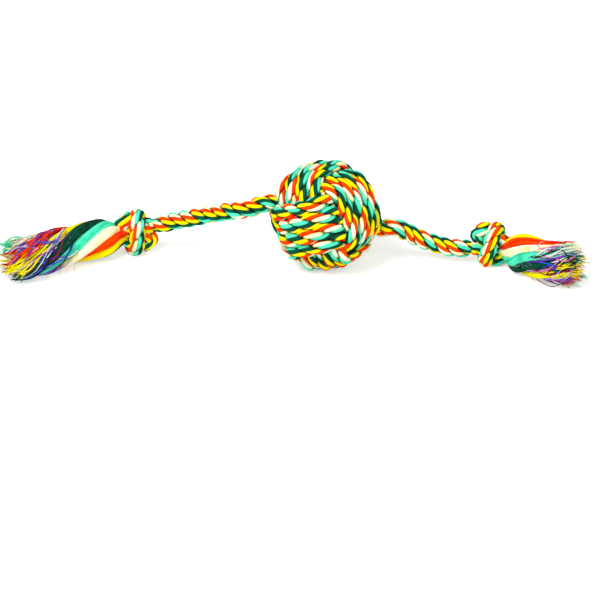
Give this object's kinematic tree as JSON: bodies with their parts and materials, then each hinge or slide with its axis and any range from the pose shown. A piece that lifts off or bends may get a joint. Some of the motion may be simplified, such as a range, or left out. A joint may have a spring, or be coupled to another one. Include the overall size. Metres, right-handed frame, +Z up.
{
  "type": "rope dog toy",
  "caption": "Rope dog toy: a woven rope ball with an arm, an overhand knot and a frayed tassel at each side.",
  "frame": {"origin": "on the floor, under the middle of the bounding box", "axes": "+Z up, +X along the toy towards its short arm, +Y away from the viewer of the picture"},
  "size_m": [0.389, 0.083, 0.0745],
  "materials": {
    "orange_cotton_yarn": "matte soft-spun cotton yarn, dyed orange",
    "yellow_cotton_yarn": "matte soft-spun cotton yarn, dyed yellow",
    "green_cotton_yarn": "matte soft-spun cotton yarn, dyed green",
    "mint_cotton_yarn": "matte soft-spun cotton yarn, dyed mint",
    "cream_cotton_yarn": "matte soft-spun cotton yarn, dyed cream",
    "mixed_cotton_rope": "matte three-strand cotton rope of orange, yellow, dark green, mint and cream yarns",
    "core_cotton": "matte hidden filling of dark waste cotton"
  },
  "bodies": {
    "ball": {"ball_core": "core_cotton", "side_band": "mixed_cotton_rope", "front_band": "mixed_cotton_rope", "top_band": "mixed_cotton_rope", "left_exit_rope": "mixed_cotton_rope", "right_exit_rope": "mixed_cotton_rope"},
    "left_arm": {"left_strand_1": "mixed_cotton_rope", "left_strand_2": "mixed_cotton_rope", "left_strand_3": "mixed_cotton_rope"},
    "left_knot": {"left_knot": "mixed_cotton_rope"},
    "left_tassel": {"left_yarn_orange_1": "orange_cotton_yarn", "left_yarn_orange_2": "orange_cotton_yarn", "left_yarn_orange_3": "orange_cotton_yarn", "left_yarn_yellow_1": "yellow_cotton_yarn", "left_yarn_yellow_2": "yellow_cotton_yarn", "left_yarn_yellow_3": "yellow_cotton_yarn", "left_yarn_green_1": "green_cotton_yarn", "left_yarn_green_2": "green_cotton_yarn", "left_yarn_green_3": "green_cotton_yarn", "left_yarn_mint_1": "mint_cotton_yarn", "left_yarn_mint_2": "mint_cotton_yarn", "left_yarn_mint_3": "mint_cotton_yarn", "left_yarn_cream_1": "cream_cotton_yarn", "left_yarn_cream_2": "cream_cotton_yarn", "left_yarn_cream_3": "cream_cotton_yarn"},
    "right_arm": {"right_strand_1": "mixed_cotton_rope", "right_strand_2": "mixed_cotton_rope", "right_strand_3": "mixed_cotton_rope"},
    "right_knot": {"right_knot": "mixed_cotton_rope"},
    "right_tassel": {"right_yarn_orange_1": "orange_cotton_yarn", "right_yarn_orange_2": "orange_cotton_yarn", "right_yarn_orange_3": "orange_cotton_yarn", "right_yarn_yellow_1": "yellow_cotton_yarn", "right_yarn_yellow_2": "yellow_cotton_yarn", "right_yarn_yellow_3": "yellow_cotton_yarn", "right_yarn_green_1": "green_cotton_yarn", "right_yarn_green_2": "green_cotton_yarn", "right_yarn_green_3": "green_cotton_yarn", "right_yarn_mint_1": "mint_cotton_yarn", "right_yarn_mint_2": "mint_cotton_yarn", "right_yarn_mint_3": "mint_cotton_yarn", "right_yarn_cream_1": "cream_cotton_yarn", "right_yarn_cream_2": "cream_cotton_yarn", "right_yarn_cream_3": "cream_cotton_yarn"}
  },
  "joints": [
    {"name": "left_arm_lift", "type": "hinge", "parent": "ball", "child": "left_arm", "pos_m": [-0.02309, -0.00072, 0.04466], "axis": [-0.1069, 0.9943, 0], "range_deg": [0, 75]},
    {"name": "left_knot_swing", "type": "hinge", "parent": "left_arm", "child": "left_knot", "pos_m": [-0.09577, 0.02731, 0.01832], "axis": [0, 0, 1], "range_deg": [-40, 40]},
    {"name": "left_tassel_lift", "type": "hinge", "parent": "left_knot", "child": "left_tassel", "pos_m": [-0.12438, 0.018, 0.01397], "axis": [-0.5093, 0.8606, 0], "range_deg": [0, 50]},
    {"name": "right_arm_lift", "type": "hinge", "parent": "ball", "child": "right_arm", "pos_m": [0.0693, 0.00525, 0.02696], "axis": [-0.0309, -0.9995, 0], "range_deg": [0, 75]},
    {"name": "right_knot_swing", "type": "hinge", "parent": "right_arm", "child": "right_knot", "pos_m": [0.12504, 0.00676, 0.01136], "axis": [0, 0, 1], "range_deg": [-40, 40]},
    {"name": "right_tassel_lift", "type": "hinge", "parent": "right_knot", "child": "right_tassel", "pos_m": [0.15191, -0.00311, 0.01291], "axis": [-0.681, -0.7323, 0], "range_deg": [0, 50]}
  ]
}
